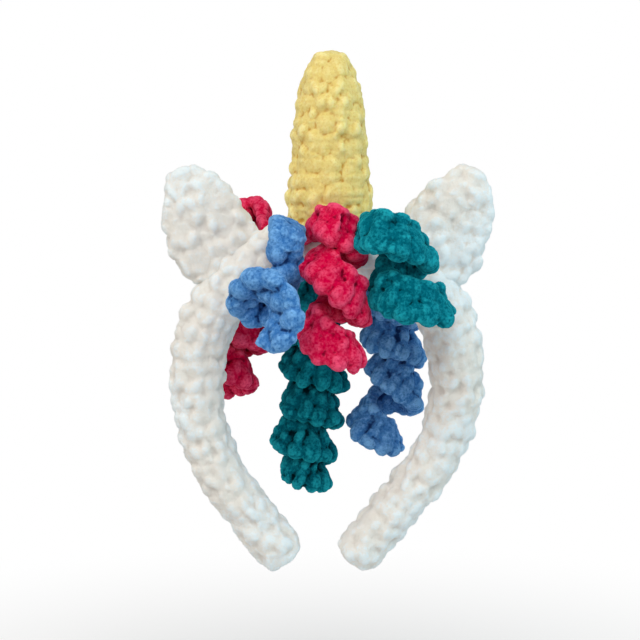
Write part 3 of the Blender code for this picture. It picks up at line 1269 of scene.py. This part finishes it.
@dataclass
class Curl(Crochet):
    """A strip wound into a corkscrew with its lower edge flared outwards.

    Attributes:
        side: -1 in front of the band and 1 behind it.
        root_angle: Its place on the arch, in degrees from the crown towards +X.
        root_height: How far up the band's face it is sewn, in degrees.
        rise: Start of its axis above the band's middle line.
        reach: Outer radius of the corkscrew.
        widen: Width of its strip as a share of the strip's own.
        turns: How often it winds round.
        begins: Where round the corkscrew the strip starts, in degrees from its front.
        axis: Turn | across, in reaches | outwards, in reaches | drop, in pitches | share of the
            reach | slant of the turn | tip towards the front | flare beyond the strip's own.
        yarn_tail: Length of the yarn left hanging at its free end.
        tail_width: Width of that yarn, as a share of its length.
        tail_drop: How far its middle hangs under the strip's end, as a share of its length.
        width: Width of the strip.
        thickness: Thickness of the strip.
        flare: How far the flared edge leans outwards, in radians.
        turn_gap: Gap between two turns.
        standoff: Gap between the band and the corkscrew.
        root_depth: How deep in the band the strip begins.
        rib_relief: Height of the strip's ribs, as a share of its thickness.
        lead_turns: Turns in which the strip swings out from its root.
        end_turns: Turns in which its free end narrows.
        root_share: Size of the strip at its root, as a share of its own.
        free_end_share: Size of the strip at its free end, likewise.
        fingers_per_turn: How many fingers a turn has.
        chain_per_turn: How many lumps of the chain a turn has.
        finger_share: Furthest that two fingers stand apart, in strip widths.
        whole_below: Draws under this give a whole finger.
        halves_below: Further draws under this give a finger in two lumps, and others in three.
        split: Highest place across the strip of the crease between two lumps.
        overlap: How far each of the two lumps goes over the crease.
        spare: How much less the lumps narrow than the strip does, as a share of their breadth.
        sway: How far a lump turns within the strip, in radians.
        shift: How far a lump stands out of the strip or in, in millimetres.
        untidy: How far a lump strays from its place.
        size_change: How much the lumps' breadth, length and depth vary, as shares.
    """

    side: int = -1
    root_angle: float = 0.0
    root_height: float = 0.0
    rise: float = 0.0
    reach: float = 17 * MM
    widen: float = 1.0
    turns: float = 1.0
    begins: float = 0.0
    axis: Table = ()
    yarn_tail: float = 0.0
    tail_width: float = 0.45
    tail_drop: float = 0.6
    width: float = 19 * MM
    thickness: float = 8.5 * MM
    flare: float = math.radians(27)
    turn_gap: float = 0.8 * MM
    standoff: float = 3 * MM
    root_depth: float = 4 * MM
    rib_relief: float = 0.1
    lead_turns: float = 0.25
    end_turns: float = 0.1
    root_share: float = 0.55
    free_end_share: float = 0.35
    fingers_per_turn: int = 11
    chain_per_turn: int = 8
    finger_share: float = 0.6
    whole_below: float = 0.42
    halves_below: float = 0.82
    split: float = 0.14
    overlap: Span = (0.06, 0.07)
    spare: float = 0.35
    sway: float = 0.16
    shift: float = 0.5
    untidy: float = 0.45 * MM
    size_change: tuple[float, float, float] = (0.10, 0.05, 0.08)

    def __post_init__(self) -> None:
        """Works out what the sizes give."""
        self.width *= self.widen
        self.broadest = self.width * self.finger_share
        self.core = self.width - self.thickness
        clear = self.thickness * (1 + self.rib_relief) + self.turn_gap
        beside = math.sqrt(clear**2 - (self.core * math.sin(self.flare)) ** 2)
        self.tight_pitch = self.core * math.cos(self.flare) + beside

    def seat(self) -> tuple[Vector, Vector, float, float]:
        """What the band is like where the curl is sewn.

        Returns:
            The band's middle, the way out of the arch, and half its thickness and depth.
        """
        distance = math.radians(self.root_angle) * BAND_LINE.arch_radius
        middle, _, out = BAND_LINE.frame_at(distance)
        return (middle, out, *BAND_LINE.halves(distance))

    def root(self) -> Vector:
        """The point inside the band's face that the curl grows from.

        Returns:
            The point.
        """
        middle, out, thick, deep = self.seat()
        height = math.radians(self.root_height)
        inwards = BACK * self.side * (deep - self.root_depth) * math.cos(height)
        return middle + inwards + out * (thick - self.root_depth) * math.sin(height)

    def spot(self, turn: float) -> tuple[Vector, Vector, float]:
        """Where the strip is at a turn.

        Args:
            turn: How far round, counted in turns from the root.

        Returns:
            (point of the strip's middle line, away from the corkscrew's axis, flare).
        """
        across, out, drop, share, slant, tip, flare = read_table(self.axis, turn)
        centre = self.seat()[0] + UP * (self.rise - drop * self.tight_pitch)
        centre += BACK * self.side * (BAND_LINE.depth / 2 + self.standoff + self.reach * (1 + out))
        centre += RIGHT * across * self.reach
        slant, tip, flare = math.radians(slant), math.radians(tip), self.flare + math.radians(flare)
        down = RIGHT * math.sin(slant) - UP * math.cos(slant)
        front = -BACK * math.cos(tip) - down * math.sin(tip)
        onward = RIGHT * math.cos(slant) + UP * math.sin(slant)
        radius = self.reach * share - (self.core * math.sin(flare) + self.thickness) / 2
        angle = math.radians(self.begins + 360 * turn)
        outward = front * math.cos(angle) + onward * math.sin(angle)
        lead = min(1.0, turn / self.lead_turns)
        point = self.root().lerp(centre + outward * radius, lead * lead * (3 - 2 * lead))
        return point, outward, flare

    def strip(self, turn: float) -> StripPoint:
        """The strip's place, directions and size at a turn.

        Args:
            turn: How far round, counted in turns from the root.

        Returns:
            The strip there.
        """
        step = 0.02
        before = self.spot(max(turn - step, 0.0))[0]
        after = self.spot(min(turn + step, self.turns))[0]
        point, outward, flare = self.spot(turn)
        ahead = (after - before).normalized()
        outward = (outward - ahead * outward.dot(ahead)).normalized()
        edge = ahead.cross(outward)
        wide = edge * math.cos(flare) + outward * math.sin(flare)
        flat = outward * math.cos(flare) - edge * math.sin(flare)
        to_end = min(1.0, max(0.0, self.turns - turn) / self.end_turns)
        size = self.free_end_share + (1 - self.free_end_share) * math.sqrt(to_end * (2 - to_end))
        size *= self.root_share + (1 - self.root_share) * min(1.0, turn / self.lead_turns)
        return StripPoint(point, ahead, wide, flat, self.width * size, self.thickness * size)

    def turn_length(self, turn: float, offset: float) -> float:
        """Length of one turn near a place, along a line beside the strip's middle.

        Args:
            turn: The place, in turns from the root.
            offset: How far towards the flared edge the line lies, in strip widths.

        Returns:
            The length in metres.
        """
        step = 0.03
        low, high = max(turn - step, 0.0), min(turn + step, self.turns)
        start, end = self.strip(low), self.strip(high)
        run = end.middle + end.wide * end.width * offset
        run = run - start.middle - start.wide * start.width * offset
        return run.length / (high - low)

    def lay(self) -> Iterator[bpy.types.Object]:
        """Lays the strip's fingers and the chain along its inner edge.

        Yields:
            Each laid lump.
        """
        for turn in self.places(self.fingers_per_turn, FILLING.line):
            yield from self.finger(turn)
        for turn in self.places(self.chain_per_turn, CHAIN.line):
            yield self.lay_lump(CHAIN, turn, self.chain_per_turn)
        if self.yarn_tail:
            yield self.tail()

    def places(self, per_turn: int, offset: float) -> Iterator[float]:
        """Where stitches stand along the strip: evenly, and no further apart than they are broad.

        Args:
            per_turn: How many a full turn has.
            offset: How far towards the flared edge they lie, in strip widths.

        Yields:
            Each stitch's turn.
        """
        turn = 0.0
        while turn < self.turns:
            yield turn
            turn += min(1 / per_turn, self.broadest / self.turn_length(turn, offset))
        yield self.turns

    def finger(self, turn: float) -> Iterator[bpy.types.Object]:
        """Lays one finger across the strip, in one, two or three lumps of yarn.

        Args:
            turn: Where along the strip it lies.

        Yields:
            The finger's filling and its lumps.
        """
        yield self.lay_lump(FILLING, turn, self.fingers_per_turn)
        kind = self.chance.random()
        lumps = THIRDS
        if kind < self.whole_below:
            lumps = (WHOLE,)
        elif kind < self.halves_below:
            crease = self.chance.uniform(0.0, self.split)
            lumps = (puff(crease - self.overlap[0], TIP), puff(FOOT, crease + self.overlap[1]))
        for lump in lumps:
            yield self.lay_lump(lump, turn, self.fingers_per_turn)

    def lay_lump(self, lump: Lump, turn: float, per_turn: int) -> bpy.types.Object:
        """Lays one lump of yarn across the strip.

        Args:
            lump: What it is like.
            turn: Where along the strip it lies.
            per_turn: How many of its kind a full turn has.

        Returns:
            The laid lump.
        """
        loose = 0.0 if lump.shape is Shape.CORE else 1.0
        strip = self.strip(turn)
        breadth = min(self.turn_length(turn, lump.line) / per_turn, self.broadest) * lump.breadth
        breadth *= min(1.0, self.spare + strip.width / self.width)
        broad_change, long_change, deep_change = (loose * share for share in self.size_change)
        tilt = Matrix.Rotation(loose * self.chance.uniform(-self.sway, self.sway), 3, strip.flat)
        place = strip.middle + strip.wide * strip.width * (lump.start + lump.end) / 2
        place += strip.flat * loose * self.chance.uniform(-self.shift, self.shift) * MM
        place = place + self.stray(loose * self.untidy)
        broad = tilt @ strip.ahead * breadth * self.vary(broad_change)
        long = tilt @ strip.wide * strip.width * (lump.end - lump.start) * self.vary(long_change)
        deep = strip.flat * strip.thickness * lump.fullness * self.vary(deep_change)
        return self.maker.lay(lump.shape, axes_at(place, broad, long, deep))

    def tail(self) -> bpy.types.Object:
        """Lays the cut end of yarn that hangs at the curl's free end.

        Returns:
            The laid end.
        """
        middle = self.strip(self.turns).middle - UP * self.yarn_tail * self.tail_drop
        thin = self.yarn_tail * self.tail_width
        size = (RIGHT * thin, UP * self.yarn_tail, BACK * thin)
        return self.maker.lay(Shape.LEG, axes_at(middle, *size))


CURLS = (
    Curl(
        "curl_front_pink", Yarn.PINK, 11, side=-1, root_angle=-7.5, root_height=35,
        rise=15 * MM, reach=17 * MM, turns=2.54, begins=-95,
        axis=(
            (0.00, 0.60, -0.10, -0.10, 0.84, 0, 0, 0),
            (0.26, 0.64, -0.10, 0.12, 0.86, -4, 0, 0),
            (0.76, 0.70, -0.02, 0.95, 0.95, -15, 0, 0),
            (1.26, 0.78, 0.12, 1.52, 1.06, -28, 0, 0),
            (2.26, 0.66, 0.05, 3.04, 1.00, -2, -12, 0),
            (2.60, 0.60, 0.00, 3.37, 0.95, 0, -12, 0),
        ),
    ),
    Curl(
        "curl_front_blue", Yarn.BLUE, 12, side=-1, root_angle=-16, root_height=45,
        rise=7 * MM, reach=17 * MM, turns=1.49, begins=-95, yarn_tail=5 * MM, fingers_per_turn=8,
        axis=(
            (0.00, -0.04, -0.15, -0.10, 0.97, -90, 0, -5),
            (0.26, -0.12, -0.15, -0.05, 1.02, -90, 5, -2),
            (0.40, -0.21, -0.17, 0.52, 1.00, -90, 15, 1),
            (0.55, -0.45, -0.04, 1.17, 1.01, -90, 38, 7),
            (0.80, -0.69, 0.53, 1.46, 1.00, -90, 72, 17),
            (1.00, -0.61, 1.02, 1.49, 1.00, -90, 80, 19),
            (1.50, -0.58, 1.25, 1.80, 1.00, -90, 84, 21),
        ),
    ),
    Curl(
        "curl_front_green", Yarn.GREEN, 13, side=-1, root_angle=14, root_height=30,
        rise=14 * MM, reach=19.5 * MM, widen=1.12, turns=1.54, begins=-105,
        axis=(
            (0.00, 0.56, 0.08, -0.02, 0.98, 4, 8, -6),
            (0.28, 0.58, 0.10, 0.22, 1.02, 4, 8, -6),
            (1.28, 1.28, 0.06, 1.66, 1.00, 8, -2, 0),
            (1.60, 1.36, 0.00, 2.02, 1.00, 8, -2, 0),
        ),
    ),
    Curl(
        "curl_back_pink", Yarn.PINK, 14, side=1, root_angle=-25.5, root_height=50,
        rise=19.5 * MM, reach=17 * MM, turns=4.50, begins=80,
        axis=(
            (0.00, -0.56, 0.00, 0.00, 0.95, 0, 0, 0),
            (0.28, -0.62, 0.00, 0.16, 1.00, 0, 0, 0),
            (0.78, -0.66, 0.00, 1.10, 1.00, 0, 0, 0),
            (2.00, -0.80, 0.00, 2.34, 1.00, 0, 0, 0),
            (3.78, -1.22, 0.00, 4.22, 0.98, 0, 0, 0),
            (4.28, -1.60, 0.00, 4.85, 0.92, 0, 0, 0),
            (4.60, -1.80, 0.00, 5.15, 0.88, 0, 0, 0),
        ),
    ),
    Curl(
        "curl_back_green", Yarn.GREEN, 15, side=1, root_angle=6, root_height=0,
        rise=7 * MM, reach=17.5 * MM, turns=7.04, begins=80,
        axis=(
            (0.00, -0.60, 0.00, 0.00, 0.90, 0, 0, 0),
            (0.78, -0.60, 0.00, 0.95, 1.00, 0, 0, 0),
            (3.78, -0.73, 0.00, 3.92, 1.00, 0, 0, 0),
            (4.78, -0.80, 0.00, 4.92, 0.98, 0, 0, 0),
            (5.78, -1.02, 0.00, 5.90, 0.96, 0, 0, 0),
            (6.78, -0.92, 0.00, 6.80, 0.80, 0, 0, 0),
            (7.10, -0.90, 0.00, 7.04, 0.76, 0, 0, 0),
        ),
    ),
    Curl(
        "curl_back_blue", Yarn.BLUE, 16, side=1, root_angle=41, root_height=0,
        rise=1 * MM, reach=16 * MM, turns=4.04, begins=80,
        axis=(
            (0.00, -0.56, 0.00, 0.00, 0.90, 0, 0, 0),
            (0.78, -0.55, 0.00, 1.00, 1.00, 0, 0, 0),
            (1.78, -0.52, 0.00, 1.98, 1.02, 0, 0, 0),
            (2.78, -0.30, 0.00, 3.06, 1.02, -22, 0, 0),
            (3.78, -0.98, 0.00, 4.50, 1.05, -6, 0, 0),
            (4.10, -1.03, 0.00, 4.85, 1.00, -6, 0, 0),
        ),
    ),
)


# Studio


@dataclass(frozen=True)
class Lamp:
    """A soft lamp that faces the object.

    Attributes:
        name: Its name.
        place: Where it stands.
        power: Its power in watts.
        size: Width of its face.
        colour: Colour of its light.
    """

    name: str
    place: tuple[float, float, float]
    power: float
    size: float
    colour: Colour

    def build(self) -> None:
        """Puts the lamp in the scene."""
        light = bpy.data.lights.new(self.name, "AREA")
        light.energy = self.power
        light.size = self.size
        light.color = self.colour
        lamp = bpy.data.objects.new(self.name, light)
        lamp.location = self.place
        lamp.rotation_euler = (-Vector(self.place)).to_track_quat("-Z", "Y").to_euler()
        bpy.context.scene.collection.objects.link(lamp)


LAMPS = (
    Lamp("key", (0.0, -0.80, 0.75), 6.6, 0.7, (1.0, 0.985, 0.96)),
    Lamp("cool_fill", (0.8, -0.35, 0.1), 2.2, 0.6, (0.55, 0.90, 1.0)),
    Lamp("warm_fill", (-0.8, -0.4, 0.2), 2.3, 0.6, (1.0, 0.93, 0.82)),
    Lamp("back", (0.2, 0.9, 0.6), 1.6, 0.7, (1.0, 1.0, 1.0)),
)


@dataclass
class Studio:
    """Plain pale floor, soft light and the camera.

    Attributes:
        elevation: Camera's height over the horizon, in radians.
        distance: From the camera to what it looks at.
        target: What it looks at.
        lens: Focal length in millimetres.
        floor_drop: How far the floor lies under the tips of the band.
        floor_size: Width of the floor.
        floor_colour: Colour of the floor.
        floor_roughness: Roughness of the floor.
        backdrop_colour: Colour of the backdrop.
        ambient: Strength of the light from all sides.
        fades: Distances from the object between which the floor fades into the backdrop.
    """

    elevation: float = math.radians(8)
    distance: float = 0.85
    target: tuple[float, float, float] = (-0.0034, 0, -0.0223)
    lens: float = 99.6
    floor_drop: float = 0.12
    floor_size: float = 8.0
    floor_colour: Colour = (0.92, 0.92, 0.92)
    floor_roughness: float = 0.9
    backdrop_colour: Colour = (1.0, 1.0, 1.0)
    ambient: float = 0.40
    fades: Span = (0.02, 0.5)

    def build(self) -> None:
        """Sets up everything round the object."""
        self.camera()
        self.world()
        for lamp in LAMPS:
            lamp.build()
        self.floor()
        bpy.context.scene.view_settings.view_transform = "Standard"

    def camera(self) -> None:
        """The camera at the photograph's angle."""
        lens = bpy.data.cameras.new("camera")
        lens.lens = self.lens
        camera = bpy.data.objects.new("camera", lens)
        bpy.context.scene.collection.objects.link(camera)
        back = Vector((0, -math.cos(self.elevation), math.sin(self.elevation)))
        camera.location = Vector(self.target) + back * self.distance
        camera.rotation_euler = (-back).to_track_quat("-Z", "Y").to_euler()
        bpy.context.scene.camera = camera

    def world(self) -> None:
        """Soft white light from all sides, in front of a white backdrop."""
        world = bpy.data.worlds.new("studio")
        nodes = Nodes(world)
        sky = {"Color": self.backdrop_colour, "Strength": self.backdrop(nodes)}
        nodes.feed(nodes.tree.nodes["Background"], sky)
        bpy.context.scene.world = world

    def backdrop(self, nodes: Nodes) -> Socket:
        """How bright the backdrop is: white where it is seen, and dimmer as a light."""
        seen = nodes.add("LightPath", {}).outputs["Is Camera Ray"]
        return nodes.ramp(seen, ALL, (self.ambient, 1.0))

    def floor(self) -> None:
        """A plain pale floor below the object, which fades into the backdrop."""
        deselect_all()
        height = CAD_BOX[0].z - self.floor_drop
        bpy.ops.mesh.primitive_plane_add(size=self.floor_size, location=(0, 0, height))
        floor = bpy.context.object
        floor.name = "floor"
        paint = bpy.data.materials.new("floor_paint")
        nodes = Nodes(paint)
        shader = nodes.tree.nodes["Principled BSDF"]
        nodes.feed(shader, {"Base Color": self.floor_colour, "Roughness": self.floor_roughness})
        away = nodes.add("VectorMath", {0: nodes.place()})
        away.operation = "LENGTH"
        fade = nodes.ramp(away.outputs["Value"], self.fades, ALL)
        bright = nodes.add("Emission", {"Strength": self.backdrop(nodes)})
        mixed = {0: fade, 1: shader.outputs["BSDF"], 2: bright.outputs["Emission"]}
        surface = nodes.add("MixShader", mixed).outputs["Shader"]
        nodes.feed(nodes.tree.nodes["Material Output"], {"Surface": surface})
        floor.data.materials.append(paint)


def main() -> None:
    """Builds the studio and every piece of the headband, in order."""
    logging.basicConfig(level=logging.INFO, format="%(message)s")
    Studio().build()
    maker = StitchMaker()
    pieces = (
        Band("band", Yarn.WHITE, 1),
        Horn("horn", Yarn.YELLOW, 2),
        Ear("ear_left", Yarn.WHITE, 3, side=-1),
        Ear("ear_right", Yarn.WHITE, 4, side=1),
        *CURLS,
    )
    for piece in pieces:
        piece.build(maker)


if __name__ == "__main__":
    main()
